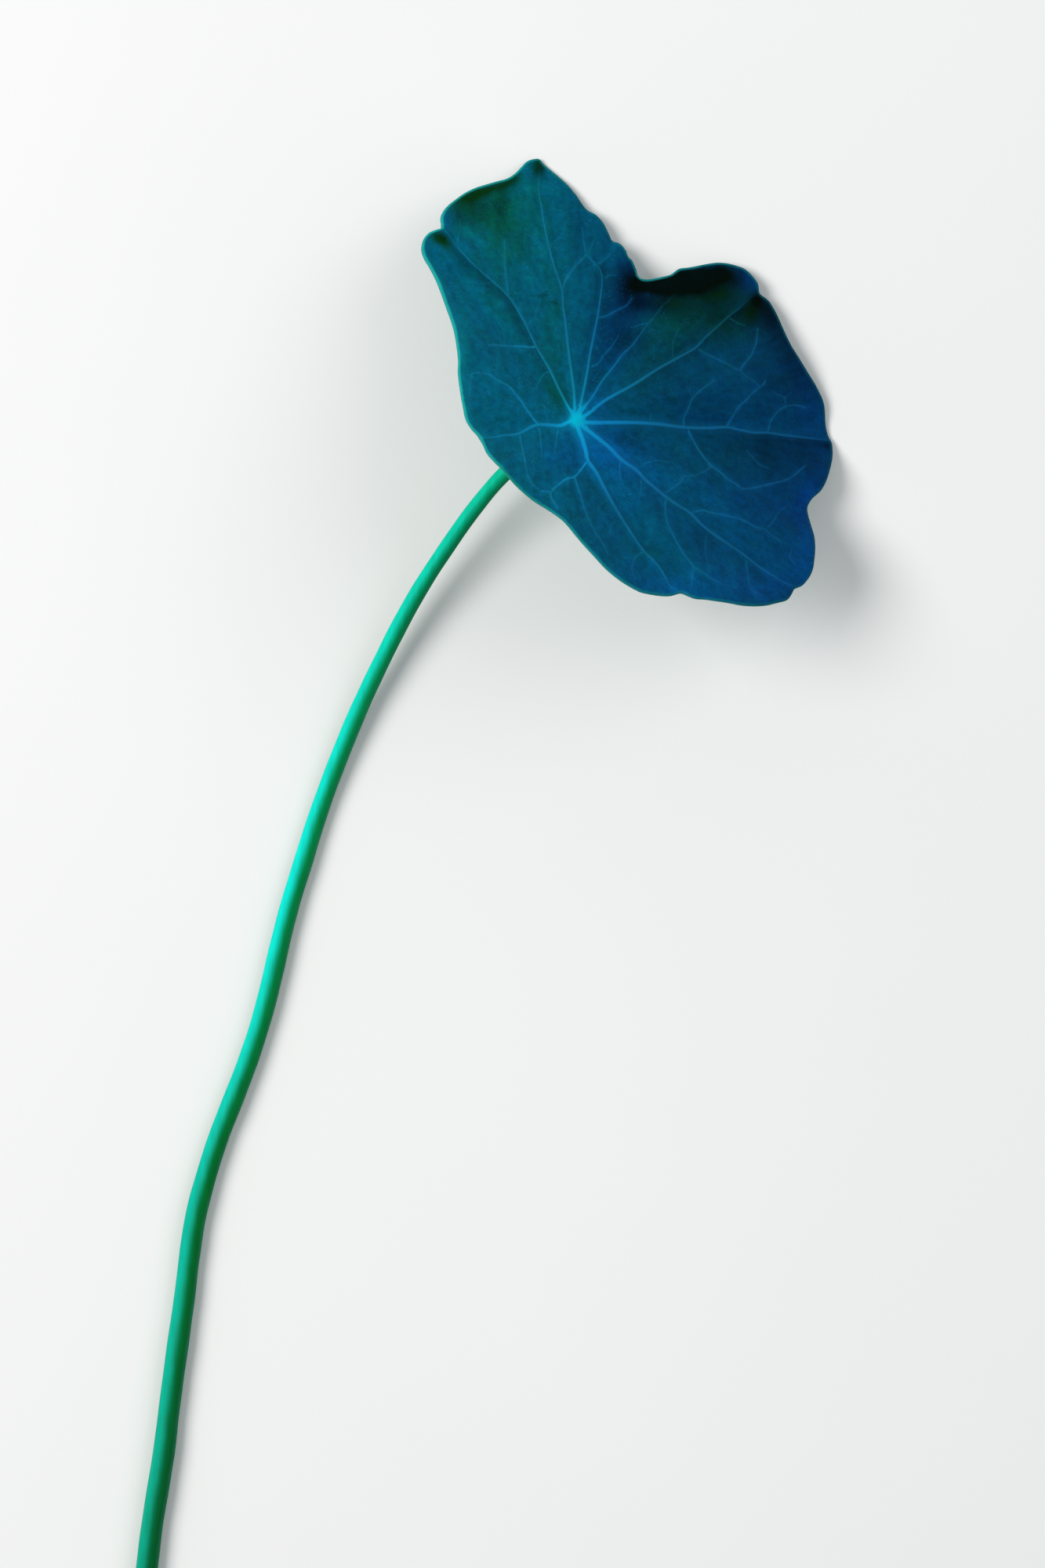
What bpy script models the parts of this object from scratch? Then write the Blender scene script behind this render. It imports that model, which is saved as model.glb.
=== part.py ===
"""A single nasturtium leaf as picked: a round, wavy-edged blade on its long stalk, lying on a surface.

Two pieces, as they are in nature: leaf_blade and leaf_stalk. The blade leans on two lobes of its margin
and on the stalk, which bends down from under the hub and then lies along the surface.
Lengths are in metres. Outline and veins are drawn on a plan grid, x to the right and y down.
"""

import math

import bmesh
import bpy
import numpy as np
from mathutils import Vector
from mathutils.geometry import delaunay_2d_cdt

# Driving dimensions
BLADE_LENGTH = 0.0800  # the blade's longest line, from the top lobe to the lower right lobe
GRID_LENGTH = 640.0  # the same line on the plan grid
UNIT = BLADE_LENGTH / GRID_LENGTH
HUB = (735.0, 536.0)  # where the veins meet, on the grid
SIGHT_POINT = (666.5, 1000.0)  # the grid is drawn as seen from straight above this point
SIGHT_HEIGHT = 1.500  # and from this height, so raised parts are a little smaller than drawn
HUB_HEIGHT = 0.0220  # upper side of the blade at the hub, above the surface
DISH = 0.0013  # how far the blade sags between hub and margin
QUILT = 0.0011  # how far the blade swells between two main veins
QUILT_REACH = 0.0045
BLADE_THICKNESS = 0.00066
HUB_THICKNESS = 0.0014
HUB_RADIUS = 0.0026
PETIOLE_GAP = 0.0003  # between the stalk's head and the blade
MAIN_RIB = 0.00055  # extra depth of a main vein on the underside, at the hub
SIDE_RIB = 0.00022
RIB_HALF_WIDTH = 0.0008
MESH_STEP = 0.0021  # spacing of the free points of the blade's mesh
VEIN_STEP = 0.0024
MARGIN_STEP = 0.0013

STALK_SIDES = 16
STALK_STEP = 0.0040
STALK_END_DIAMETER = 0.0035
STALK_MIDDLE_DIAMETER = 0.0031
STALK_NECK_DIAMETER = 0.0024
STALK_HEAD_DIAMETER = 0.0036

# Margin of the blade, anticlockwise from the tip of the right-hand vein
MARGIN = [
    (1061, 565), (1056, 555), (1053, 540), (1051, 515), (1042, 494), (1030, 474), (1019, 456),
    (1008, 438), (999, 419), (991, 401), (985, 390), (979, 382), (969, 374), (967, 362), (958, 350),
    (950, 343), (940, 339), (928, 336), (915, 335), (900, 337), (880, 341), (866, 343), (856, 350),
    (845, 353), (830, 356), (820, 356), (814, 352), (811, 342), (806, 332), (801, 327), (798, 319),
    (791, 311), (781, 307), (777, 299), (770, 285), (760, 274), (748, 267), (735, 249), (724, 236),
    (713, 226), (701, 216), (693, 209), (688, 203), (680, 203), (672, 206), (665, 213), (656, 222),
    (646, 228), (635, 231), (614, 237), (603, 241), (593, 246), (583, 253), (574, 260), (567, 268),
    (563, 278), (564, 290), (556, 293), (547, 297), (541, 305), (539, 318), (543, 330), (549, 340),
    (559, 360), (570, 390), (580, 420), (585, 455), (585, 475), (588, 500), (591, 517), (595, 535),
    (603, 548), (613, 558), (621, 576), (630, 587), (640, 597), (650, 609), (662, 622), (681, 638),
    (700, 650), (717, 662), (726, 671), (735, 682), (746, 695), (759, 709), (775, 726), (794, 741),
    (813, 752), (824, 756), (843, 759), (857, 759), (870, 755), (878, 759), (888, 763), (900, 764),
    (914, 766), (929, 768), (946, 771), (962, 772), (978, 771), (991, 768), (1005, 764), (1011, 756),
    (1014, 750), (1024, 746), (1032, 737), (1037, 726), (1039, 713), (1040, 699), (1039, 685),
    (1035, 671), (1031, 657), (1030, 647), (1036, 636), (1047, 626), (1053, 616), (1057, 605),
    (1060, 594), (1062, 583), (1062, 573),
]

# Height of the margin above the surface: direction from the hub in degrees, height in millimetres
MARGIN_HEIGHTS = [
    (-4.8, 0.87), (3.0, 1.4), (8.0, 1.9), (14.0, 2.8), (20.0, 3.1), (27.0, 2.6), (32.0, 2.3),
    (35.0, 2.8), (39.0, 2.2), (44.0, 1.7), (50.0, 2.5), (57.0, 4.4), (65.0, 6.0), (70.0, 5.2),
    (74.0, 3.9), (83.0, 2.4), (90.0, 1.3), (98.1, 0.72), (104.0, 2.4), (112.0, 6.8), (118.0, 11.0),
    (125.0, 15.6), (130.0, 16.6), (134.0, 19.6), (140.0, 23.4), (158.0, 28.8), (180.0, 32.6),
    (190.0, 32.3), (213.0, 35.4), (233.0, 36.0), (253.0, 35.2), (270.0, 35.2), (286.0, 34.0),
    (302.0, 28.6), (312.0, 25.6), (322.5, 17.2), (332.0, 13.2), (338.0, 9.0), (348.0, 4.6),
]

# Main veins, from the hub outward
MAIN_VEINS = [
    [(728, 537), (715, 543), (685, 542), (662, 553), (640, 556), (614, 557)],
    [(725, 520), (713, 497), (684, 443), (660, 395), (630, 360), (592, 326), (565, 293)],
    [(733, 525), (732, 500), (724, 440), (718, 390), (707, 340), (694, 287), (687, 240), (688, 207)],
    [(739, 522), (749, 475), (762, 406), (768, 357), (760, 337), (748, 326)],
    [(745, 525), (770, 485), (805, 442), (835, 403), (857, 379), (883, 345)],
    [(748, 527), (765, 513), (820, 483), (880, 448), (920, 412), (968, 374)],
    [(748, 539), (810, 539), (870, 545), (927, 545), (980, 552), (1057, 563)],
    [(745, 545), (777, 571), (812, 600), (865, 645), (910, 681), (955, 713), (1012, 749)],
    [(738, 548), (750, 588), (770, 621), (800, 672), (831, 713), (868, 754)],
]

# Side veins, from their root outward
SIDE_VEINS = [
    [(685, 540), (662, 508), (640, 488), (605, 476), (599, 500)],
    [(663, 556), (671, 597), (677, 615), (690, 626), (703, 627)],
    [(684, 443), (665, 442), (624, 440)],
    [(648, 377), (645, 350), (643, 305)],
    [(718, 369), (728, 347), (743, 330)],
    [(762, 406), (790, 394), (806, 380)],
    [(748, 326), (745, 313), (743, 291)],
    [(889, 444), (915, 458), (944, 473), (960, 485), (970, 494)],
    [(944, 473), (957, 455), (965, 435), (966, 420)],
    [(872, 543), (878, 520), (892, 499), (911, 485)],
    [(927, 544), (943, 518), (960, 501), (976, 486)],
    [(980, 551), (987, 531), (1004, 518), (1028, 520)],
    [(878, 549), (893, 577), (918, 602), (948, 624), (980, 618), (1012, 607), (1027, 594)],
    [(908, 595), (889, 606), (873, 608), (850, 628)],
    [(849, 636), (852, 668), (868, 700), (884, 723), (882, 746)],
    [(884, 723), (908, 738), (941, 750)],
    [(882, 654), (908, 654), (940, 661), (975, 674), (996, 691)],
    [(952, 716), (957, 751), (965, 761)],
    [(747, 590), (733, 608), (713, 618), (703, 627), (712, 649)],
    [(733, 609), (744, 644), (759, 678), (776, 708)],
    [(821, 704), (807, 718), (811, 740)],
]

# Line of the stalk on the grid, from the head under the hub to the cut end, and height of its middle
# in millimetres; where no height is given the stalk lies on the surface
STALK_LINE = [
    (727, 543, 20.3), (709, 556, 17.1), (680, 577, 13.9), (643, 605, 11.2), (604.5, 650, 9.0),
    (569, 700, 7.4), (536.5, 750, 6.0), (508.5, 800, 4.8), (483.5, 850, 3.8), (460, 900, 2.9),
    (439, 950, 2.2), (419.5, 1000, 1.75), (402, 1050, None), (386.5, 1100, None), (371, 1150, None),
    (358, 1200, None), (346.5, 1250, None), (333.5, 1300, None), (317.5, 1350, None),
    (298.5, 1400, None), (279, 1450, None), (263, 1500, None), (250, 1550, None), (242, 1600, None),
    (236, 1650, None), (229, 1700, None), (222, 1750, None), (215.5, 1800, None), (209.5, 1850, None),
    (201.5, 1900, None), (193.5, 1950, None), (187.5, 2000, None), (180.5, 2050, None),
    (174.5, 2090, None),
]


def curve_through(points, step, closed=False):
    """Points at an even step along a smooth curve through the given ones."""
    pts = np.array(points, float)
    count = len(pts)
    fine = []
    for i in range(count if closed else count - 1):
        if closed:
            a, b, c, d = (pts[(i + k) % count] for k in (-1, 0, 1, 2))
        else:
            b, c = pts[i], pts[i + 1]
            a = pts[i - 1] if i > 0 else 2 * b - c
            d = pts[i + 2] if i + 2 < count else 2 * c - b
        for t in np.linspace(0, 1, 24, endpoint=False):
            fine.append(
                0.5 * (2 * b + (c - a) * t + (2 * a - 5 * b + 4 * c - d) * t**2
                       + (3 * b - a - 3 * c + d) * t**3)
            )
    fine.append(pts[0] if closed else pts[-1])
    fine = np.array(fine)
    along = np.concatenate(([0], np.cumsum(np.linalg.norm(np.diff(fine, axis=0), axis=1))))
    pieces = max(2, round(along[-1] / step))
    at = np.linspace(0, along[-1], pieces + 1)
    out = np.stack([np.interp(at, along, fine[:, k]) for k in range(pts.shape[1])], axis=1)
    return out[:-1] if closed else out


def to_plan(points):
    """Grid points as plan metres about the hub, y up."""
    pts = np.array(points, float)
    return np.stack([(pts[..., 0] - HUB[0]) * UNIT, (HUB[1] - pts[..., 1]) * UNIT], axis=-1)


def seen_from_above(plan, height):
    """Draws raised points in towards the sight point, as far as sight makes them look larger."""
    middle = to_plan(SIGHT_POINT)
    return middle + (plan - middle) * (1 - height / SIGHT_HEIGHT)[..., None]


def distance_to(lines, plan):
    """Distance of each plan point to the nearest line, and how far along that line, from 0 to 1."""
    best = np.full(len(plan), 1e9)
    share = np.zeros(len(plan))
    for line in lines:
        lengths = np.linalg.norm(np.diff(line, axis=0), axis=1)
        start = np.concatenate(([0], np.cumsum(lengths)))
        for a, b, s, length in zip(line[:-1], line[1:], start, lengths):
            t = np.clip(((plan - a) @ (b - a)) / max(length**2, 1e-18), 0, 1)
            d = np.linalg.norm(plan - (a + t[:, None] * (b - a)), axis=1)
            nearer = d < best
            best = np.where(nearer, d, best)
            share = np.where(nearer, (s + t * length) / start[-1], share)
    return best, share


def round_interp(angle, stations, values):
    """Smooth closed interpolation over the angle in degrees."""
    count = len(stations)
    x = np.concatenate((stations[-2:] - 360, stations, stations[:2] + 360))
    y = np.concatenate((values[-2:], values, values[:2]))
    slope = np.gradient(y, x)
    angle = (angle - stations[0]) % 360 + stations[0]
    i = np.clip(np.searchsorted(x, angle, side="right") - 1, 0, count + 2)
    width = x[i + 1] - x[i]
    t = (angle - x[i]) / width
    return (
        (2 * t**3 - 3 * t**2 + 1) * y[i] + (t**3 - 2 * t**2 + t) * width * slope[i]
        + (3 * t**2 - 2 * t**3) * y[i + 1] + (t**3 - t**2) * width * slope[i + 1]
    )


margin_plan = curve_through(to_plan(MARGIN), MARGIN_STEP, closed=True)
margin_fine = curve_through(to_plan(MARGIN), 0.0003, closed=True)
margin_angle = np.degrees(np.arctan2(margin_fine[:, 1], margin_fine[:, 0])) % 360
margin_order = np.argsort(margin_angle)
main_lines = [curve_through(to_plan(v), VEIN_STEP) for v in MAIN_VEINS]
side_lines = [curve_through(to_plan(v), VEIN_STEP) for v in SIDE_VEINS]
height_angle = np.array([a for a, _ in MARGIN_HEIGHTS])
height_value = np.array([h for _, h in MARGIN_HEIGHTS]) / 1000


def reach(plan):
    """Share of the way from the hub to the margin, and the angle in degrees."""
    angle = np.degrees(np.arctan2(plan[:, 1], plan[:, 0])) % 360
    radius = np.interp(
        angle, margin_angle[margin_order], np.linalg.norm(margin_fine[margin_order], axis=1), period=360
    )
    return np.clip(np.linalg.norm(plan, axis=1) / radius, 0, 1), angle


def blade_height(plan):
    """Height of the blade's upper side over the surface."""
    rho, angle = reach(plan)
    edge = round_interp(angle, height_angle, height_value)
    from_vein, _ = distance_to(main_lines, plan)
    arch = 4 * rho * (1 - rho)
    swell = QUILT * (1 - np.exp(-((from_vein / QUILT_REACH) ** 2)))
    return HUB_HEIGHT + (edge - HUB_HEIGHT) * rho - DISH * arch + swell * arch


def blade_points(plan):
    height = blade_height(plan)
    return np.column_stack([seen_from_above(plan, height), height])


def blade_depth(plan):
    """Thickness of the blade with its ribs, which stand out on the underside."""
    main, along_main = distance_to(main_lines, plan)
    side, along_side = distance_to(side_lines, plan)
    ribs = np.maximum(
        MAIN_RIB * (1 - 0.6 * along_main) * np.exp(-((main / RIB_HALF_WIDTH) ** 2)),
        SIDE_RIB * (1 - 0.6 * along_side) * np.exp(-((side / RIB_HALF_WIDTH) ** 2)),
    )
    boss = (HUB_THICKNESS - BLADE_THICKNESS) * np.exp(-((np.linalg.norm(plan, axis=1) / HUB_RADIUS) ** 4))
    return BLADE_THICKNESS + np.maximum(ribs, boss)


def collection(name):
    made = bpy.data.collections.new(name)
    bpy.context.scene.collection.children.link(made)
    return made


def material(name, colour, roughness):
    made = bpy.data.materials.new(name)
    made.use_nodes = True
    shader = made.node_tree.nodes["Principled BSDF"]
    shader.inputs["Base Color"].default_value = (*colour, 1)
    shader.inputs["Roughness"].default_value = roughness
    return made


def mesh_object(name, verts, faces, shade, into):
    mesh = bpy.data.meshes.new(name)
    mesh.from_pydata([tuple(map(float, v)) for v in verts], [], [tuple(map(int, f)) for f in faces])
    tidy = bmesh.new()
    tidy.from_mesh(mesh)
    bmesh.ops.recalc_face_normals(tidy, faces=tidy.faces)
    tidy.to_mesh(mesh)
    tidy.free()
    mesh.materials.append(shade)
    mesh.shade_smooth()
    made = bpy.data.objects.new(name, mesh)
    into.objects.link(made)
    return made


def blade_layout():
    """Plan points and triangles of the blade: margin, both banks of each main vein, side veins, field."""
    points = [tuple(p) for p in margin_plan]
    edges = [(i, (i + 1) % len(points)) for i in range(len(points))]
    kept = list(margin_plan)

    def near(p, limit):
        return np.min(np.linalg.norm(np.array(kept) - p, axis=1)) < limit

    def add_line(line, clear):
        last = None
        for p in line:
            if near(p, clear):
                last = None
                continue
            points.append(tuple(p))
            kept.append(p)
            if last is not None:
                edges.append((last, len(points) - 1))
            last = len(points) - 1

    hub_ring = [
        np.array([math.cos(a), math.sin(a)]) * HUB_RADIUS * f
        for f, n in ((0.55, 8), (1.15, 14))
        for a in np.linspace(0, 2 * math.pi, n, endpoint=False)
    ]
    for p in [np.zeros(2)] + hub_ring:
        points.append(tuple(p))
        kept.append(p)
    for line in main_lines:
        add_line(line, 0.0007)
    for line in main_lines:
        along = np.gradient(line, axis=0)
        across = np.column_stack([-along[:, 1], along[:, 0]])
        across /= np.linalg.norm(across, axis=1)[:, None]
        for bank in (1, -1):
            for p in line + across * RIB_HALF_WIDTH * 1.3 * bank:
                if reach(p[None])[0][0] < 0.97 and not near(p, 0.0008):
                    points.append(tuple(p))
                    kept.append(p)
    for line in side_lines:
        add_line(line, 0.0009)
    rows = int(0.09 / (MESH_STEP * 0.866))
    for row in range(-rows, rows):
        for col in range(-45, 45):
            p = np.array([(col + 0.5 * (row % 2)) * MESH_STEP, row * MESH_STEP * 0.866])
            if reach(p[None])[0][0] < 0.975 and not near(p, MESH_STEP * 0.56):
                points.append(tuple(p))
                kept.append(p)
    grid = [Vector(p) for p in points]
    made = delaunay_2d_cdt(grid, edges, [], 1, 1e-7)
    return np.array([tuple(v) for v in made[0]]), [tuple(f) for f in made[2]]


def blade():
    """Corners and triangles of the blade: the upper side, the same triangles on the underside, the rim."""
    plan, faces = blade_layout()
    top = blade_points(plan)
    step = 2e-5
    east = blade_points(plan + (step, 0)) - blade_points(plan - (step, 0))
    north = blade_points(plan + (0, step)) - blade_points(plan - (0, step))
    normal = np.cross(east, north)
    normal /= np.linalg.norm(normal, axis=1)[:, None]
    under = top - normal * blade_depth(plan)[:, None]
    count = len(plan)
    shells = [f for f in faces] + [tuple(v + count for v in reversed(f)) for f in faces]
    used = {}
    for f in faces:
        for a, b in zip(f, f[1:] + f[:1]):
            used[(a, b)] = True
    rim = []
    for a, b in used:
        if (b, a) not in used:
            rim.append((b, a, a + count))
            rim.append((b, a + count, b + count))
    verts = np.vstack([top, under])
    return verts, shells + rim


def stalk_radius(share):
    """Radius along the stalk, from the head at 0 to the cut end at 1."""
    thick = np.interp(
        share, [0, 0.02, 0.05, 0.10, 0.45, 0.90, 1.0],
        [STALK_HEAD_DIAMETER, 0.0030, 0.00255, STALK_NECK_DIAMETER, STALK_MIDDLE_DIAMETER,
         STALK_END_DIAMETER, STALK_END_DIAMETER],
    )
    return thick / 2


def stalk(head, head_axis):
    """Rings of the stalk, the first one square to the hub's axis."""
    flat = math.cos(math.pi / STALK_SIDES)
    plan = to_plan([p[:2] for p in STALK_LINE])
    rough = np.concatenate(([0], np.cumsum(np.linalg.norm(np.diff(plan, axis=0), axis=1))))
    lying = stalk_radius(rough / rough[-1]) * flat
    height = np.array([
        low if p[2] is None else p[2] / 1000 for p, low in zip(STALK_LINE, lying)
    ])
    path = np.column_stack([seen_from_above(plan, height), height])
    path[0] = head
    path[1] = head - head_axis * 0.0030
    line = curve_through(path, STALK_STEP)
    near_head = curve_through(path[:5], 0.0013)
    cut = np.linalg.norm(near_head[-1] - near_head[0])
    line = np.vstack([near_head, line[np.linalg.norm(line - head, axis=1) > cut + STALK_STEP * 0.5]])
    along = np.concatenate(([0], np.cumsum(np.linalg.norm(np.diff(line, axis=0), axis=1))))
    share = along / along[-1]
    radius = stalk_radius(share)
    down = line[:, 2] < radius * flat + 0.0001
    line[down, 2] = radius[down] * flat
    direction = np.gradient(line, axis=0)
    direction[down, 2] = 0
    direction[0] = -head_axis
    direction /= np.linalg.norm(direction, axis=1)[:, None]
    verts = []
    faces = []
    for centre, axis, r in zip(line, direction, radius):
        side = np.cross(axis, (0, 0, 1))
        side /= np.linalg.norm(side)
        up = np.cross(side, axis)
        for k in range(STALK_SIDES):
            a = 2 * math.pi * (k + 0.5) / STALK_SIDES - math.pi / 2
            verts.append(centre + r * (math.cos(a) * side + math.sin(a) * up))
    rings = len(line)
    for i in range(rings - 1):
        for k in range(STALK_SIDES):
            a = i * STALK_SIDES + k
            b = i * STALK_SIDES + (k + 1) % STALK_SIDES
            faces.append((a, b, b + STALK_SIDES))
            faces.append((a, b + STALK_SIDES, a + STALK_SIDES))
    for ring in (0, rings - 1):
        centre = len(verts)
        verts.append(line[ring])
        for k in range(STALK_SIDES):
            a = ring * STALK_SIDES + k
            b = ring * STALK_SIDES + (k + 1) % STALK_SIDES
            faces.append((a, b, centre))
    return np.array(verts), faces


for old in list(bpy.data.objects):
    bpy.data.objects.remove(old, do_unlink=True)

plant = collection("nasturtium_leaf")
blade_verts, blade_faces = blade()
hub_here = np.zeros((1, 2))
hub_top = blade_points(hub_here)[0]
nudge = 0.0015
slope_x = blade_points(hub_here + (nudge, 0))[0] - blade_points(hub_here - (nudge, 0))[0]
slope_y = blade_points(hub_here + (0, nudge))[0] - blade_points(hub_here - (0, nudge))[0]
hub_axis = np.cross(slope_x, slope_y)
hub_axis /= np.linalg.norm(hub_axis)
stalk_head = hub_top - hub_axis * (HUB_THICKNESS + PETIOLE_GAP)
stalk_verts, stalk_faces = stalk(stalk_head, hub_axis)

both = np.vstack([blade_verts, stalk_verts])
middle = (both.min(axis=0) + both.max(axis=0)) / 2
shift = np.array([middle[0], middle[1], 0])
blade_verts[:, 2] = np.maximum(blade_verts[:, 2], 0)
stalk_verts[:, 2] = np.maximum(stalk_verts[:, 2], 0)

green = material("leaf_blade_green", (0.010, 0.110, 0.130), 0.45)
pale = material("leaf_stalk_green", (0.060, 0.420, 0.260), 0.35)
mesh_object("leaf_blade", blade_verts - shift, blade_faces, green, plant)
mesh_object("leaf_stalk", stalk_verts - shift, stalk_faces, pale, plant)
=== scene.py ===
"""A single nasturtium leaf on its stalk, lying as picked on a pale surface, seen from above."""

import math
from functools import partial, reduce
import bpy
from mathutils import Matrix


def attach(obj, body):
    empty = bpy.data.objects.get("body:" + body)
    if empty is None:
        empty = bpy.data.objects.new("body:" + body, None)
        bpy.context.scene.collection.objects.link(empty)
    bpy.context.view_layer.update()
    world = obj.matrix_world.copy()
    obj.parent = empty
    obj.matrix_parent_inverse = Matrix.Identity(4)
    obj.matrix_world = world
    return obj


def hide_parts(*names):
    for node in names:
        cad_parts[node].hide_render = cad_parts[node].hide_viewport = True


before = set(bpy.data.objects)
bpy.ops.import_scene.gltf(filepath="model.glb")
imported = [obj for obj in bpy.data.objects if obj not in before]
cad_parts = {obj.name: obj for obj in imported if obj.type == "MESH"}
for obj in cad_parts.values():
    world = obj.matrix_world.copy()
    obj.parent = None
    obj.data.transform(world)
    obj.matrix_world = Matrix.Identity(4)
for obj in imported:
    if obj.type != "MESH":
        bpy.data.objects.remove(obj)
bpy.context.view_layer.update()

from types import SimpleNamespace

import bmesh
import bpy
import numpy as np
from mathutils import Vector
from mathutils.geometry import delaunay_2d_cdt

# The leaf's measures in metres, as in the solids. Outline, veins, stalk and patches are given as points on
# a plan grid, x to the right and y down.
UNIT = 0.0800 / 640.0  # one step of the grid
HUB = (735.0, 536.0)
HUB_AT = (0.015422, 0.076348)  # the hub's place in the part's frame
SIGHT_POINT = (666.5, 1000.0)  # the grid point under the eye
SIGHT_HEIGHT = 1.500
HUB_HEIGHT = 0.0220
DISH = 0.0013  # how deep the blade is dished between hub and margin
QUILT = 0.0011  # how high it swells between the main veins
QUILT_REACH = 0.0045
BLADE_THICKNESS = 0.00066
HUB_THICKNESS = 0.0014
HUB_RADIUS = 0.0026
MAIN_RIB = 0.00055
SIDE_RIB = 0.00026
STRETCH_ALONG = (0.70, 0.71)  # the way the blade slopes down, in plan
STRETCH = 0.32  # how much longer the blade is that way than its plan

# The blade's margin, anticlockwise from its right end
MARGIN = [
    (1061, 565), (1056, 555), (1053, 540), (1051, 515), (1042, 494), (1030, 474), (1019, 456),
    (1008, 438), (999, 419), (991, 401), (985, 390), (979, 382), (969, 374), (967, 362), (958, 350),
    (950, 343), (940, 339), (928, 336), (915, 335), (900, 337), (880, 341), (866, 343), (856, 350),
    (845, 353), (830, 356), (820, 356), (814, 352), (811, 342), (806, 332), (801, 327), (798, 319),
    (791, 311), (781, 307), (777, 299), (770, 285), (760, 274), (748, 267), (735, 249), (724, 236),
    (713, 226), (701, 216), (693, 209), (688, 203), (680, 203), (672, 206), (665, 213), (656, 222),
    (646, 228), (635, 231), (614, 237), (603, 241), (593, 246), (583, 253), (574, 260), (567, 268),
    (563, 278), (564, 290), (556, 293), (547, 297), (541, 305), (539, 318), (543, 330), (549, 340),
    (559, 360), (570, 390), (580, 420), (585, 455), (585, 475), (588, 500), (591, 517), (595, 535),
    (603, 548), (613, 558), (621, 576), (630, 587), (640, 597), (650, 609), (662, 622), (681, 638),
    (700, 650), (717, 662), (726, 671), (735, 682), (746, 695), (759, 709), (775, 726), (794, 741),
    (813, 752), (824, 756), (843, 759), (857, 759), (870, 755), (878, 759), (888, 763), (900, 764),
    (914, 766), (929, 768), (946, 771), (962, 772), (978, 771), (991, 768), (1005, 764), (1011, 756),
    (1014, 750), (1024, 746), (1032, 737), (1037, 726), (1039, 713), (1040, 699), (1039, 685),
    (1035, 671), (1031, 657), (1030, 647), (1036, 636), (1047, 626), (1053, 616), (1057, 605),
    (1060, 594), (1062, 583), (1062, 573),
]

# The margin's height: angle round the hub in degrees, anticlockwise from the right, and millimetres
MARGIN_HEIGHTS = [
    (-4.8, 0.87), (3.0, 1.4), (8.0, 1.9), (14.0, 2.8), (20.0, 3.1), (27.0, 2.6), (32.0, 2.3),
    (35.0, 2.8), (39.0, 2.2), (44.0, 1.7), (50.0, 2.5), (57.0, 4.4), (65.0, 6.0), (70.0, 5.2),
    (74.0, 3.9), (83.0, 2.4), (90.0, 1.3), (98.1, 0.72), (104.0, 2.4), (112.0, 6.8), (118.0, 11.0),
    (125.0, 15.6), (130.0, 16.6), (134.0, 19.6), (140.0, 23.4), (158.0, 28.8), (180.0, 32.6),
    (190.0, 32.3), (213.0, 35.4), (233.0, 36.0), (253.0, 35.2), (270.0, 35.2), (286.0, 34.0),
    (302.0, 28.6), (312.0, 25.6), (322.5, 17.2), (332.0, 13.2), (338.0, 9.0), (348.0, 4.6),
]

# Main veins from the hub outward: half-width in millimetres, blueness of the root, brightness at each
# VEIN_FADE_AT share of the way, lower at tips that run into painted shade, points
VEIN_FADE_AT = (0.1, 0.5, 0.86, 1.0)
MAIN_VEINS = [
    (0.48, 0.5, (1.0, 0.95, 0.80, 0.60),
     [(728, 537), (715, 543), (700, 542), (685, 542), (675, 546), (662, 553), (650, 555), (640, 556),
      (625, 558), (614, 558)]),
    (0.32, 0.0, (1.0, 0.92, 0.72, 0.40),
     [(725, 520), (713, 497), (700, 470), (684, 443), (672, 418), (660, 395), (648, 378), (630, 361),
      (605, 339), (592, 325), (582, 313), (570, 298), (565, 293)]),
    (0.34, 0.0, (1.0, 0.92, 0.70, 0.10),
     [(733, 525), (732, 500), (728, 470), (724, 440), (721, 412), (718, 390), (717, 372), (712, 355),
      (707, 340), (700, 315), (694, 287), (690, 262), (687, 240), (688, 207)]),
    (0.32, 0.1, (0.90, 0.76, 0.66, 0.50),
     [(739, 522), (744, 500), (749, 475), (753, 450), (758, 425), (762, 406), (765, 385), (767, 370),
      (768, 357), (766, 346), (760, 337), (748, 326)]),
    (0.27, 0.45, (0.60, 0.50, 0.06, 0.0),
     [(743, 524), (757, 504), (769, 485), (783, 467), (795, 451), (805, 442), (815, 429), (825, 415),
      (835, 403), (846, 389), (857, 379), (883, 345)]),
    (0.42, 0.6, (0.90, 0.80, 0.40, 0.0),
     [(750, 528), (767, 514), (785, 503), (800, 495), (820, 483), (840, 470), (860, 459), (880, 448),
      (889, 442), (900, 430), (910, 421), (920, 412), (930, 403), (943, 393), (957, 380), (968, 374)]),
    (0.50, 0.9, (1.0, 0.95, 0.66, 0.35),
     [(748, 539), (780, 539), (810, 539), (840, 541), (870, 545), (900, 546), (927, 545), (945, 549),
      (960, 552), (980, 552), (1000, 555), (1028, 559), (1058, 562)]),
    (0.48, 0.6, (1.14, 0.95, 0.82, 0.50),
     [(745, 545), (760, 557), (777, 571), (793, 587), (812, 600), (822, 611), (835, 622), (849, 634),
      (865, 645), (880, 654), (895, 669), (910, 681), (925, 692), (940, 702), (955, 713), (970, 724),
      (985, 734), (1000, 743), (1013, 748)]),
    (0.48, 0.6, (1.36, 0.92, 0.85, 0.38),
     [(738, 548), (743, 561), (747, 575), (750, 588), (760, 602), (770, 621), (780, 640), (791, 658),
      (800, 672), (810, 688), (821, 703), (831, 713), (841, 725), (848, 736), (856, 748), (868, 755)]),
]
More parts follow.
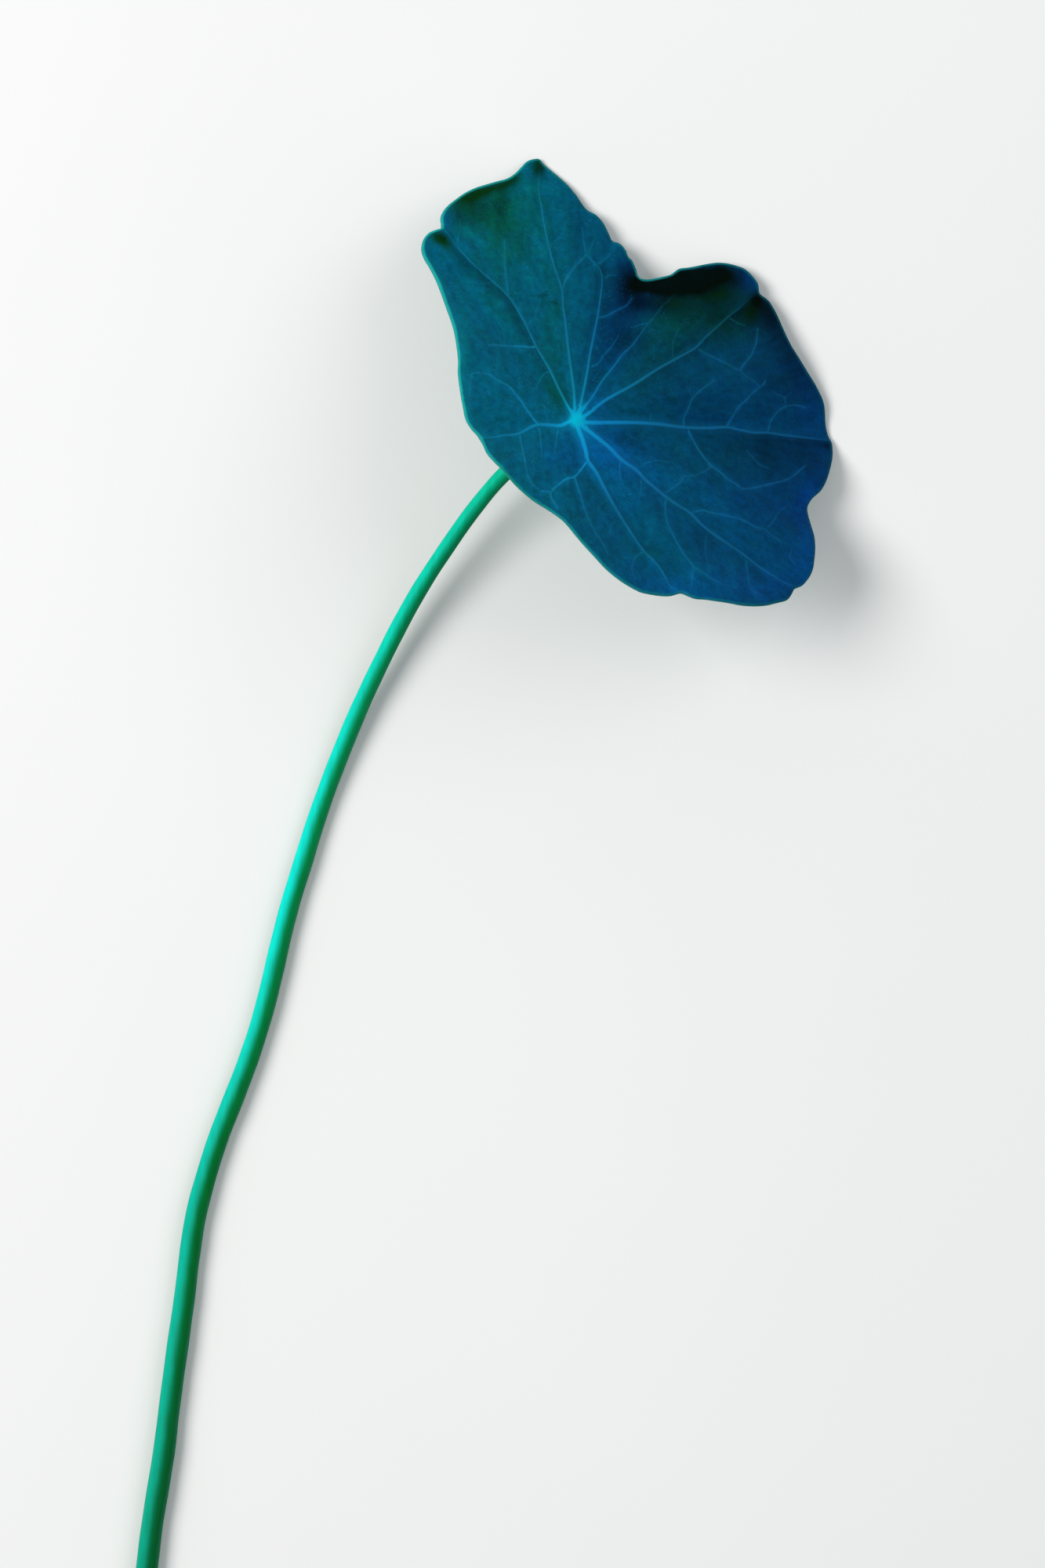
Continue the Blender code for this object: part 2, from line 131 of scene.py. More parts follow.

# Painted shade beside the main veins: vein, side (1 left of the way outward, -1 right of it), width in
# millimetres, strength (negative is painted light), and the shares of the vein where it starts and ends
PAINTED_VEIN_SHADING = [
    (1, 1, 1.8, 0.30, 0.22, 0.92), (1, 1, 0.8, 0.22, 0.04, 0.90), (2, -1, 0.7, 0.12, 0.15, 0.80),
    (2, 1, 0.6, 0.10, 0.10, 0.90), (3, -1, 1.7, 0.30, 0.15, 0.95), (3, 1, 0.6, 0.08, 0.10, 0.80),
    (4, 1, 1.2, 0.12, 0.15, 0.75), (5, -1, 0.9, 0.34, 0.05, 0.86), (5, -1, 2.4, 0.45, 0.84, 1.00),
    (5, 1, 0.6, 0.12, 0.10, 0.80), (6, -1, 1.0, 0.20, 0.05, 1.00), (6, -1, 4.5, 0.26, 0.71, 1.00),
    (6, 1, 2.6, -0.22, 0.62, 1.00), (7, -1, 0.8, 0.16, 0.10, 0.90), (7, 1, 0.6, 0.08, 0.10, 0.90),
    (8, 1, 0.8, 0.14, 0.15, 0.90), (8, -1, 0.6, 0.08, 0.15, 0.90), (0, -1, 0.7, 0.10, 0.10, 0.90),
]

# Side veins: strength, then the points from the root outward
SIDE_VEINS = [
    (1.00, [(685, 540), (678, 531), (670, 520), (662, 508), (655, 500), (648, 492), (640, 488),
            (630, 482), (621, 477), (605, 476), (600, 483), (599, 505)]),
    (0.75, [(663, 556), (667, 575), (671, 597), (677, 615), (690, 626), (703, 627)]),
    (1.15, [(684, 443), (665, 442), (645, 441), (624, 440)]),
    (0.90, [(648, 377), (647, 365), (645, 350), (644, 333), (643, 305)]),
    (0.95, [(718, 369), (721, 358), (728, 347), (736, 337), (743, 330), (748, 326)]),
    (0.50, [(762, 406), (775, 402), (790, 394), (800, 389), (806, 380)]),
    (0.60, [(748, 326), (745, 313), (743, 291)]),
    (0.55, [(762, 338), (770, 332), (778, 324)]),
    (0.50, [(889, 444), (900, 451), (915, 458), (930, 466), (944, 473), (951, 480), (960, 485),
            (970, 494)]),
    (0.75, [(944, 473), (950, 463), (957, 455), (961, 447), (965, 435), (966, 420)]),
    (0.75, [(872, 543), (873, 532), (878, 520), (884, 507), (892, 499), (900, 493), (911, 485)]),
    (0.90, [(927, 544), (935, 530), (943, 518), (952, 510), (960, 501), (970, 494), (976, 486)]),
    (0.80, [(980, 551), (982, 540), (987, 531), (994, 523), (1004, 518), (1016, 517), (1028, 520)]),
    (0.90, [(878, 549), (885, 563), (893, 577), (900, 586), (908, 595), (918, 602), (928, 611),
            (938, 617), (948, 624), (962, 622), (980, 618), (1000, 613), (1012, 607), (1020, 600),
            (1027, 594)]),
    (0.60, [(908, 595), (900, 600), (889, 606), (873, 608)]),
    (0.85, [(849, 636), (849, 655), (852, 668), (860, 685), (868, 700), (876, 712), (884, 723),
            (883, 735), (882, 746)]),
    (0.75, [(850, 628), (860, 621), (868, 615), (873, 606)]),
    (0.60, [(884, 723), (896, 730), (908, 738), (925, 746), (941, 750)]),
    (0.75, [(882, 654), (895, 651), (908, 654), (923, 657), (940, 661), (955, 667), (965, 673),
            (975, 674), (985, 683), (996, 691)]),
    (0.70, [(952, 716), (954, 733), (957, 751), (972, 761)]),
    (1.20, [(749, 588), (741, 599), (733, 608), (722, 611), (713, 618), (703, 627), (704, 637),
            (712, 649)]),
    (0.85, [(733, 609), (738, 625), (744, 644), (750, 661), (759, 678), (768, 692), (776, 708)]),
    (0.75, [(821, 704), (812, 709), (807, 718), (806, 730), (811, 740)]),
]

# Faint veins: strength, then the points
FINE_VEINS = [
    (0.8, [(688, 546), (690, 562), (691, 583)]),
    (0.8, [(712, 547), (710, 560), (708, 577)]),
    (0.8, [(700, 474), (692, 478), (688, 487), (684, 496)]),
    (0.7, [(583, 312), (586, 296), (587, 281)]),
    (0.6, [(722, 415), (730, 412)]),
    (0.6, [(750, 325), (755, 312), (759, 302)]),
    (0.6, [(768, 357), (776, 352), (786, 351)]),
    (0.7, [(754, 467), (764, 463), (770, 453), (778, 445), (783, 438), (789, 428)]),
    (0.8, [(828, 412), (818, 414), (805, 418)]),
    (0.7, [(930, 405), (940, 411), (950, 415)]),
    (0.8, [(830, 539), (830, 529)]),
    (0.7, [(953, 575), (960, 583), (968, 592), (980, 597)]),
    (0.8, [(1003, 518), (1002, 508), (1010, 500)]),
    (0.7, [(1002, 507), (990, 502), (984, 497)]),
    (0.8, [(980, 672), (988, 663), (993, 653), (1006, 645)]),
    (0.8, [(793, 588), (790, 600), (792, 612), (796, 619)]),
    (0.8, [(818, 611), (818, 625), (815, 638)]),
    (0.6, [(818, 594), (826, 590), (840, 587), (858, 590)]),
    (0.7, [(1010, 700), (1008, 712), (1016, 720)]),
    (0.7, [(794, 663), (785, 665), (779, 672), (778, 685)]),
    (0.6, [(777, 637), (768, 641), (762, 649)]),
    (0.6, [(749, 660), (741, 666), (735, 670)]),
    (0.6, [(901, 682), (900, 700), (903, 718), (905, 732)]),
    (0.6, [(861, 463), (858, 440), (866, 420)]),
    (0.5, [(640, 488), (634, 470), (636, 452)]),
    (0.5, [(645, 441), (641, 420), (632, 404)]),
    (0.5, [(700, 315), (716, 300), (722, 282)]),
    (0.5, [(672, 418), (684, 400), (690, 380)]),
    (0.5, [(630, 360), (612, 362), (596, 358)]),
]

# The stalk's middle line from the hub outward, with its height in millimetres up to where it lies flat
STALK_LINE = [
    (727, 543, 20.3), (709, 556, 17.1), (680, 577, 13.9), (643, 605, 11.2), (604.5, 650, 9.0),
    (569, 700, 7.4), (536.5, 750, 6.0), (508.5, 800, 4.8), (483.5, 850, 3.8), (460, 900, 2.9),
    (439, 950, 2.2), (419.5, 1000, 1.75), (402, 1050, None), (386.5, 1100, None), (371, 1150, None),
    (358, 1200, None), (346.5, 1250, None), (333.5, 1300, None), (317.5, 1350, None),
    (298.5, 1400, None), (279, 1450, None), (263, 1500, None), (250, 1550, None), (242, 1600, None),
    (236, 1650, None), (229, 1700, None), (222, 1750, None), (215.5, 1800, None), (209.5, 1850, None),
    (201.5, 1900, None), (193.5, 1950, None), (187.5, 2000, None), (180.5, 2050, None),
    (174.5, 2090, None),
]
STALK_SIDES = 48
# The stalk's thickness in metres at shares of its length
STALK_THICK = [
    (0.0, 0.0037), (0.02, 0.0030), (0.05, 0.00255), (0.10, 0.0024), (0.45, 0.0031), (0.90, 0.0035),
    (1.0, 0.0035),
]

# Soft patches on the blade: grid point, radii across and down, turn in degrees, strength
# Near-black painted shade where the blade folds or turns from the light, at notches and vein tips
BLACK_SHADE_PATCHES = [
    (846, 358, 30, 11, -4, 1.0), (895, 354, 28, 14, -3, 1.0), (812, 361, 9, 10, 0, 0.70),
    (866, 367, 28, 10, 0, 0.60), (925, 350, 14, 11, 20, 0.65), (828, 370, 20, 8, 0, 0.36),
    (852, 376, 13, 8, 0, 0.25), (892, 374, 16, 7, 0, 0.25), (966, 381, 6, 7, 30, 0.85),
    (960, 394, 7, 12, 10, 0.45), (977, 393, 9, 8, 30, 0.60), (562, 302, 9, 5, 20, 0.45),
    (687, 213, 4, 7, 0, 0.45), (1056, 568, 5, 4, 30, 0.70),
]
# Dark green painted shade inside the curled margin, at the vein tips and beside veins near the hub
DARK_GREEN_SHADE_PATCHES = [
    (622, 243, 28, 5, -16, 1.0), (598, 254, 14, 7, -28, 0.80), (655, 228, 10, 4, -32, 0.70),
    (560, 303, 10, 6, 20, 1.0), (570, 313, 11, 5, 48, 0.55), (687, 214, 5, 9, 0, 1.0),
    (892, 377, 30, 9, -2, 0.55), (862, 390, 16, 9, 0, 0.35), (918, 368, 15, 12, 0, 0.45),
    (959, 396, 9, 15, 8, 0.90), (712, 508, 6, 15, -30, 0.20),
]
GREEN_PATCHES = [
    (602, 268, 28, 20, -15, 0.85), (632, 285, 26, 26, 0, 0.25), (640, 268, 9, 26, 0, 0.50),
    (636, 322, 26, 22, 0, 0.30), (668, 250, 26, 34, 0, 0.36), (672, 310, 34, 44, 0, 0.32),
    (642, 395, 44, 12, 52, 0.30), (706, 425, 14, 62, 0, 0.42), (713, 505, 9, 20, -28, 0.60),
    (880, 402, 40, 18, 0, 0.62), (935, 412, 28, 24, 0, 0.60), (920, 378, 22, 12, 0, 0.45),
    (848, 424, 26, 22, -20, 0.32), (865, 430, 34, 20, -20, 0.15), (586, 450, 10, 60, 6, 0.25),
    (820, 470, 40, 14, -28, 0.25), (940, 590, 30, 16, 0, 0.20), (700, 560, 30, 12, 0, 0.15),
    (840, 690, 30, 30, 0, 0.15),
]
AZURE_PATCHES = [
    (766, 570, 28, 20, 38, 0.55), (805, 575, 44, 18, 38, 0.40), (794, 606, 40, 18, 40, 0.30),
    (788, 415, 20, 56, 18, 0.80), (803, 350, 14, 24, 0, 0.60), (820, 382, 20, 14, 0, 0.50),
    (955, 358, 14, 9, 50, 0.85), (862, 751, 36, 10, 4, 0.45), (815, 738, 28, 16, 20, 0.30),
    (720, 578, 26, 20, 0, 0.50), (900, 525, 50, 20, 0, 0.25), (960, 640, 50, 28, 0, 0.25),
    (1036, 520, 12, 44, -12, 0.35), (1040, 620, 12, 20, 20, 0.45), (1024, 646, 10, 18, 0, 0.55),
    (970, 750, 50, 16, 0, 0.38), (1030, 700, 10, 36, 0, 0.35), (766, 296, 12, 30, -30, 0.15),
    (757, 517, 18, 12, -45, 0.55), (880, 690, 60, 16, 40, 0.15), (778, 662, 20, 34, 0, 0.18),
    (569, 281, 6, 13, 0, 0.60),
]
# Painted shade: darker patches where the blade lies in shade
PAINTED_SHADE_PATCHES = [
    (600, 270, 27, 16, -18, 0.42), (640, 266, 6, 22, 0, 0.34), (600, 350, 26, 14, 45, 0.14),
    (755, 285, 34, 40, 35, 0.16), (733, 288, 7, 24, -15, 0.14), (742, 400, 26, 60, 0, 0.12),
    (776, 378, 14, 36, 8, 0.24), (795, 405, 22, 46, 18, 0.36), (802, 352, 14, 26, 0, 0.66),
    (812, 432, 18, 16, 0, 0.24), (772, 455, 14, 40, 18, 0.22), (838, 385, 28, 12, -10, 0.46),
    (880, 390, 44, 14, 0, 0.44), (922, 366, 20, 14, 0, 0.45), (944, 356, 22, 11, 38, 0.44),
    (870, 425, 50, 24, -20, 0.26), (850, 490, 64, 34, -15, 0.30), (800, 558, 40, 12, 10, 0.24),
    (818, 572, 36, 10, 15, 0.10), (935, 415, 28, 22, 0, 0.32), (984, 402, 17, 17, 0, 0.58),
    (1003, 438, 18, 28, -28, 0.42), (1012, 482, 36, 36, 0, 0.30), (646, 592, 18, 9, 42, 0.16),
    (974, 572, 8, 16, -30, 0.24), (922, 570, 30, 26, 0, 0.26), (1005, 590, 46, 30, 0, 0.20),
    (900, 525, 40, 16, 0, 0.14), (708, 387, 6, 2.5, 15, 0.42), (690, 377, 7, 2, 0, 0.38),
    (714, 506, 6, 18, -30, 0.24), (640, 440, 24, 50, -30, 0.08), (687, 213, 6, 9, 0, 0.40),
]
# Painted light: lighter patches where the blade catches the light
PAINTED_LIGHT_PATCHES = [
    (960, 738, 80, 28, 0, 0.22), (1030, 700, 18, 44, 0, 0.18), (588, 450, 8, 60, 6, 0.15),
    (600, 400, 16, 30, 0, 0.10), (765, 570, 24, 16, 40, 0.14), (600, 300, 16, 4, 35, 0.40),
    (638, 386, 5, 4, 0, 0.45), (569, 281, 6, 14, 0, 0.15), (675, 350, 5, 14, -25, 0.26),
]

# Strength of the bright rim, of the glow within it and of its mossy stretch, by the angle round the hub.
# The rim is the margin's paler edge with a painted highlight where it catches the light; the glow within
# it is painted light.
RIM_STRENGTH = [
    (0, 0.5), (16, 0.6), (26, 0.45), (44, 0.75), (58, 1.0), (66, 1.0), (72, 0.45), (90, 0.2), (98, 0.7),
    (104, 0.9), (112, 1.0), (150, 1.0), (180, 0.95), (200, 0.7), (230, 0.7), (262, 0.6), (300, 0.5),
    (330, 0.45), (359, 0.5),
]
HALO_STRENGTH = [(0, 0), (108, 0), (128, 0.5), (150, 1), (190, 0.8), (205, 0.3), (232, 0.1), (360, 0)]
MOSS_RIM_STRENGTH = [(0, 0), (205, 0), (214, 1), (236, 0.9), (250, 0.2), (360, 0)]
# Bluer and darker to the right: the darkening is painted shade, as from a light on the left
DEEP_BLUE_FROM = -0.0119  # plan x where the blade's colour starts to deepen to the right
DEEP_BLUE_OVER = 0.0475  # the width over which it deepens
PATCH_FLATNESS = 1.12  # above 1 a patch has a flatter middle and a steeper border
VEIN_SHADE_BLUR = 0.08  # share of a vein over which the shade beside it starts and ends

# Steps of the mesh and of the lines that distances are taken to
MARGIN_STEP = 0.00042
VEIN_STEP = 0.00036
FINE_VEIN_STEP = 0.0004
FIELD_STEP = 0.00046
FIELD_REACH = 0.045  # half the width of the grid of points that fills the blade
ROW_RATIO = 0.866  # distance between that grid's rows, to its step
SEARCH_CELL = 0.00036  # for looking up near points
SLOPE_STEP = 4e-5  # for the blade's slope
OUTLINE_STEP = 0.0002
LINE_STEP = 0.0007
FINE_LINE_STEP = 0.0008
CURVE_PARTS = 24  # straight parts between two points of a smooth curve

# Relief of the blade and widths of its veins, in metres
MAIN_RIDGE = 0.00010
MAIN_FURROW = 0.00007
SIDE_RIDGE = 0.00005
SIDE_RIDGE_WIDTH = 0.00026
BROAD_PUCKER = 0.00012
SMALL_PUCKER = 0.00008
RELIEF_EDGE = 0.0012  # the relief fades out over this next to the margin
THIN_EDGE = 0.0010  # the blade thins over this next to the margin
MAIN_RIB_WIDTH = 0.00075
SIDE_RIB_WIDTH = 0.0005
FINE_RIB = 0.00010
FINE_RIB_WIDTH = 0.00035
SIDE_VEIN_WIDTH = 0.00024
FINE_VEIN_WIDTH = 0.0002
FLOOR_GAP = 0.00002  # least height over the surface

# The stalk's head, its lying part and its cut end
HUB_AXIS = (0.451, 0.469, 0.759)  # square to the blade at the hub
HEAD_SINK = 0.0002  # how far the stalk reaches into the hub
HEAD_LENGTH = 0.0030  # of the straight stretch under the hub
STALK_STEP = 0.0006
LYING_SLACK = 0.0001  # a stalk this near to the surface lies on it
CUT_DEPTH = 0.0002
# Rings of the cut end, from its edge inward: size, depth in metres and place across the cut, 1 to 2
CUT_RINGS = [
    (0.97, -0.00005, 1.0), (0.90, 0.00002, 1.1), (0.78, 0.00008, 1.22), (0.6, 0.00006, 1.4),
    (0.4, 0.00012, 1.6), (0.2, 0.00018, 1.8),
]

# Colours in linear light. The first four pairs go from the blade's bright left to its deep blue right,
# where painted shade, as from a light on the left, makes them darker.
LAMINA = ((0.0004, 0.100, 0.170), (0.0004, 0.034, 0.098))
# dark green of the painted shade
DARK_GREEN_SHADE = ((0.0008, 0.032, 0.0034), (0.0004, 0.009, 0.0008))
VEIN = ((0.004, 0.160, 0.290), (0.004, 0.084, 0.210))
# the rim: the margin's paler edge, with a painted highlight
RIM = ((0.012, 0.370, 0.330), (0.008, 0.125, 0.185))
ROOT = ((0.003, 0.200, 0.310), (0.003, 0.215, 0.500))  # greener and bluer roots of the main veins
TINTS = [(0.0, (1.0, 0.97, 0.40)), (0.5, (1.0, 1.0, 1.0)), (1.0, (1.0, 0.97, 1.60))]
# near-black of the painted shade
BLACK_SHADE = (0.0002, 0.0022, 0.0006)
STAR = (0.002, 0.330, 0.560)
DISC = (0.001, 0.410, 0.580)
FLECK = (0.02, 0.26, 0.34)
# painted light of the glow within the rim
HALO = (0.006, 0.260, 0.280)
# green stretch of the rim, with its painted highlight
MOSS_RIM = (0.006, 0.230, 0.120)
UNDERSIDE = ((0.030, 0.210, 0.185), (0.045, 0.270, 0.255))
UNDERSIDE_NET = (0.10, 0.42, 0.38)
UNDERSIDE_VEIN = (0.120, 0.520, 0.420)
# Painted light and shade of the stalk: its left flank painted lit, its right shaded, each along its length
STALK_LIT = [
    (0.03, (0.001, 0.360, 0.210)), (0.10, (0.001, 0.480, 0.300)), (0.34, (0.001, 0.620, 0.490)),
    (0.43, (0.001, 0.680, 0.570)), (0.53, (0.001, 0.590, 0.460)), (0.65, (0.001, 0.430, 0.310)),
    (0.89, (0.001, 0.340, 0.220)), (1.00, (0.001, 0.310, 0.190)),
]
STALK_SHADED = [
    (0.05, (0.001, 0.240, 0.105)), (0.34, (0.001, 0.205, 0.057)), (0.43, (0.001, 0.190, 0.048)),
    (0.65, (0.001, 0.135, 0.022)), (0.89, (0.001, 0.098, 0.022)), (1.00, (0.001, 0.090, 0.020)),
]
# painted light at the far edge of the shaded flank
STALK_EDGE_LIGHT = (0.010, 0.230, 0.120)
# painted shade on the stalk's underside
STALK_UNDERSIDE_SHADE = (0.004, 0.235, 0.120)
PITH = ((0.10, 0.42, 0.20), (0.30, 0.60, 0.36))  # outside and in the middle of the cut
CUT_RING = (0.03, 0.20, 0.09)
FLOOR = ((0.73, 0.73, 0.72), (0.77, 0.77, 0.76))

FRAME_HEIGHT = 2000  # grid steps in view from top to bottom
SENSOR = 36.0
SKY = (0.93, 0.96, 1.0, 1.0)
SKY_STRENGTH = 0.45


def length_along(line):
    """Length from the line's start to each of its points."""
    return np.concatenate(([0], np.cumsum(np.linalg.norm(np.diff(line, axis=0), axis=1))))


def curve_through(points, step, closed=False):
    """Points at an even step along a smooth curve through the given ones."""
    pts = np.array(points, float)
    count = len(pts)
    fine = []
    for i in range(count if closed else count - 1):
        if closed:
            a, b, c, d = (pts[(i + k) % count] for k in (-1, 0, 1, 2))
        else:
            b, c = pts[i], pts[i + 1]
            a = pts[i - 1] if i > 0 else 2 * b - c
            d = pts[i + 2] if i + 2 < count else 2 * c - b
        for t in np.linspace(0, 1, CURVE_PARTS, endpoint=False):
            fine.append(
                0.5 * (2 * b + (c - a) * t + (2 * a - 5 * b + 4 * c - d) * t**2
                       + (3 * b - a - 3 * c + d) * t**3)
            )
    fine.append(pts[0] if closed else pts[-1])
    fine = np.array(fine)
    along = length_along(fine)
    pieces = max(2, round(along[-1] / step))
    at = np.linspace(0, along[-1], pieces + 1)
    out = np.stack([np.interp(at, along, fine[:, k]) for k in range(pts.shape[1])], axis=1)
    return out[:-1] if closed else out


def to_plan(points):
    """Grid points as plan metres about the hub, y up."""
    pts = np.array(points, float)
    return np.stack([(pts[..., 0] - HUB[0]) * UNIT, (HUB[1] - pts[..., 1]) * UNIT], axis=-1)


def seen_from_above(plan, height):
    """Plan points drawn in by their height, so that the eye sees them where they were."""
    middle = to_plan(SIGHT_POINT)
    return middle + (plan - middle) * (1 - height / SIGHT_HEIGHT)[..., None]


def distance_to(lines, values, plan):
    """For each plan point: distance to the nearest line, the share of its length there, its value, and the
    side of it, 1 left and -1 right of its way."""
    best = np.full(len(plan), 1.0)
    side = np.ones(len(plan))
    share = np.zeros(len(plan))
    value = np.zeros(len(plan))
    for line, own in zip(lines, values):
        lengths = np.linalg.norm(np.diff(line, axis=0), axis=1)
        start = length_along(line)
        for a, b, s, length in zip(line[:-1], line[1:], start, lengths):
            t = np.clip(((plan - a) @ (b - a)) / max(length**2, 1e-18), 0, 1)
            off = plan - (a + t[:, None] * (b - a))
            d = np.linalg.norm(off, axis=1)
            nearer = d < best
            best = np.where(nearer, d, best)
            left = (b[0] - a[0]) * off[:, 1] - (b[1] - a[1]) * off[:, 0] >= 0
            side = np.where(nearer, np.where(left, 1.0, -1.0), side)
            share = np.where(nearer, (s + t * length) / start[-1], share)
            value = np.where(nearer, own, value)
    return best, share, value, side


def round_interp(angle, stations, values):
    """Smooth closed interpolation over the angle in degrees."""
    count = len(stations)
    x = np.concatenate((stations[-2:] - 360, stations, stations[:2] + 360))
    y = np.concatenate((values[-2:], values, values[:2]))
    slope = np.gradient(y, x)
    angle = (angle - stations[0]) % 360 + stations[0]
    i = np.clip(np.searchsorted(x, angle, side="right") - 1, 0, count + 2)
    width = x[i + 1] - x[i]
    t = (angle - x[i]) / width
    return (
        (2 * t**3 - 3 * t**2 + 1) * y[i] + (t**3 - 2 * t**2 + t) * width * slope[i]
        + (3 * t**2 - 2 * t**3) * y[i + 1] + (t**3 - t**2) * width * slope[i + 1]
    )


def angle_of(plan):
    """Angle round the hub in degrees, anticlockwise from the right."""
    return np.degrees(np.arctan2(plan[:, 1], plan[:, 0])) % 360


def by_angle(angle, stations):
    """Straight interpolation between (angle, value) stations."""
    return np.interp(angle, *zip(*stations))


def bell(distance, width):
    """1 at distance 0, falling smoothly to about a third at the width."""
    return np.exp(-((distance / width) ** 2))


margin_plan = curve_through(to_plan(MARGIN), MARGIN_STEP, closed=True)
margin_fine = curve_through(to_plan(MARGIN), OUTLINE_STEP, closed=True)
margin_angle = angle_of(margin_fine)
margin_radius = np.linalg.norm(margin_fine, axis=1)
main_lines = [curve_through(to_plan([HUB] + points), LINE_STEP) for _, _, _, points in MAIN_VEINS]
side_lines = [curve_through(to_plan(points), LINE_STEP) for _, points in SIDE_VEINS]
side_force = [force for force, _ in SIDE_VEINS]
fine_lines = [curve_through(to_plan(points), FINE_LINE_STEP) for _, points in FINE_VEINS]
fine_force = [force for force, _ in FINE_VEINS]
height_angle, height_value = np.array(MARGIN_HEIGHTS).T


def reach(plan):
    """Share of the way from the hub to the margin, and the angle in degrees."""
    angle = angle_of(plan)
    radius = np.interp(angle, margin_angle, margin_radius, period=360)
    return np.clip(np.linalg.norm(plan, axis=1) / radius, 0, 1), angle


def blade_surface(plan):
    """The blade's upper side without its relief: dished from hub to margin, swelling between veins."""
    rho, angle = reach(plan)
    from_vein = distance_to(main_lines, range(len(main_lines)), plan)[0]
    edge = round_interp(angle, height_angle, height_value / 1000)
    arch = 4 * rho * (1 - rho)
    swell = QUILT * (1 - bell(from_vein, QUILT_REACH))
    height = HUB_HEIGHT + (edge - HUB_HEIGHT) * rho - DISH * arch + swell * arch
    return np.column_stack([seen_from_above(plan, height), height])


def patches(plan, spots):
    """Sum of soft elliptical spots, each on the grid, limited to 1."""
    total = np.zeros(len(plan))
    for x, y, across, down, turn, force in spots:
        c = math.cos(math.radians(-turn))
        s = math.sin(math.radians(-turn))
        d = plan - to_plan((x, y))
        u = (d[:, 0] * c + d[:, 1] * s) / (across * UNIT)
        v = (-d[:, 0] * s + d[:, 1] * c) / (down * UNIT)
        total += force * np.exp(-0.5 * (u**2 + v**2) ** PATCH_FLATNESS)
    return np.clip(total, 0, 1)


def blade_plan():
    """Plan points and triangles of the blade, with the margin and the veins' middle lines as edges."""
    points = [tuple(p) for p in margin_plan]
    edges = [(i, (i + 1) % len(points)) for i in range(len(points))]
    taken = {}

    def cell_of(p):
        return math.floor(p[0] / SEARCH_CELL), math.floor(p[1] / SEARCH_CELL)

    def free(p, limit):
        cx, cy = cell_of(p)
        span = int(limit / SEARCH_CELL) + 1
        for i in range(cx - span, cx + span + 1):
            for j in range(cy - span, cy + span + 1):
                for q in taken.get((i, j), ()):
                    if (q[0] - p[0]) ** 2 + (q[1] - p[1]) ** 2 < limit * limit:
                        return False
        return True

    def take(p):
        taken.setdefault(cell_of(p), []).append((p[0], p[1]))

    for p in margin_plan:
        take(p)
    for lines, step in ((main_lines, VEIN_STEP), (side_lines, VEIN_STEP), (fine_lines, FINE_VEIN_STEP)):
        for line in lines:
            last = None
            for p in curve_through(line, step):
                if not free(p, step * 0.62) or reach(p[None])[0][0] > 0.99:
                    last = None
                    continue
                points.append(tuple(p))
                take(p)
                if last is not None:
                    edges.append((last, len(points) - 1))
                last = len(points) - 1
    rows = int(FIELD_REACH / (FIELD_STEP * ROW_RATIO))
    cols = int(FIELD_REACH / FIELD_STEP)
    row, col = np.mgrid[-rows : rows + 1, -cols : cols + 1]
    across = (col + 0.5 * (row % 2)) * FIELD_STEP
    field = np.column_stack([across.ravel(), (row * FIELD_STEP * ROW_RATIO).ravel()])
    inside, _ = reach(field)
    for p in field[inside < 0.992]:
        if free(p, FIELD_STEP * 0.55):
            points.append(tuple(p))
    made = delaunay_2d_cdt([Vector(p) for p in points], edges, [], 1, 1e-7)
    return np.array([tuple(v) for v in made[0]]), [tuple(f) for f in made[2]]


def closed_shell(faces, count):
    """Faces of the upper side, of the underside, whose points come count places later, and of the rim."""
    shell = list(faces) + [tuple(v + count for v in reversed(f)) for f in faces]
    directed = {(a, b) for f in faces for a, b in zip(f, f[1:] + f[:1])}
    for a, b in sorted(directed):
        if (b, a) not in directed:
            shell.append((b, a, a + count))
            shell.append((b, a + count, b + count))
    return shell


def vein_light(vein, share):
    """Brightness of the nearest main vein at its share of the way."""
    light = np.zeros(len(vein))
    for i, (_, _, force, _) in enumerate(MAIN_VEINS):
        light = np.where(vein == i, np.interp(share, VEIN_FADE_AT, force), light)
    return light


def painted_vein_shading(vein, share, gap):
    """Painted shade beside the nearest main vein, left and right; painted light where negative."""
    beside = {1: np.zeros(len(vein)), -1: np.zeros(len(vein))}
    for i, hand, wide, force, start, end in PAINTED_VEIN_SHADING:
        past_start = np.clip((share - start) / VEIN_SHADE_BLUR + 0.5, 0, 1)
        before_end = np.clip((end - share) / VEIN_SHADE_BLUR + 0.5, 0, 1)
        beside[hand] += (vein == i) * force * (past_start * before_end) * bell(gap, wide / 1000)
    return beside[1], beside[-1]


